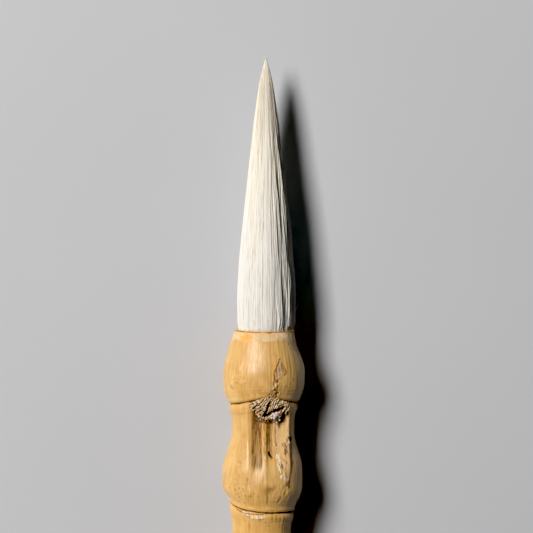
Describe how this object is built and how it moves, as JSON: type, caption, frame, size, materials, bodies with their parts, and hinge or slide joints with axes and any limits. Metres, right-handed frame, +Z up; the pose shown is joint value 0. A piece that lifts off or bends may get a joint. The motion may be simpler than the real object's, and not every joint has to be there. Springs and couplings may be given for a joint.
{
  "type": "calligraphy brush",
  "caption": "Calligraphy brush with a knotted bamboo handle, a long pointed tuft of pale goat hair set in its mouth, and a turned horn plug in its tail.",
  "frame": {"origin": "on the surface that the brush lies on, under the middle of its bounding box", "axes": "+Y along the brush from the tail to the tip of the hair, +Z up from the surface it lies on, +X to the right when seen from above with the hair at the top"},
  "size_m": [0.017, 0.2612, 0.0167],
  "materials": {
    "bamboo": "semi-gloss, rubbed, with peeled and stained patches",
    "cover_hair": "silky combed goat hair, stiffened with starch towards the tip",
    "core_hair": "silky combed goat hair",
    "hide_glue": "glossy hardened glue",
    "fused_resin": "scorched resin, semi-gloss",
    "binding_thread": "twisted linen thread",
    "horn": "turned and polished dark horn"
  },
  "bodies": {
    "handle": {"bamboo_stem": "bamboo", "mouth_bead": "hide_glue", "socket_glue": "hide_glue", "root_resin": "fused_resin", "root_thread": "binding_thread", "core_hair_root": "core_hair", "cover_hair_root": "cover_hair", "tail_plug": "horn", "tail_plug_glue": "hide_glue"},
    "tuft": {"core_hair": "core_hair", "cover_hair": "cover_hair"}
  },
  "joints": [
    {"name": "tuft_bend", "type": "hinge", "parent": "handle", "child": "tuft", "pos_m": [0.00056, 0.09041, 0.00842], "axis": [0, 0, 1], "range_deg": [-60, 60], "stiffness_Nm_per_rad": 0.005}
  ]
}
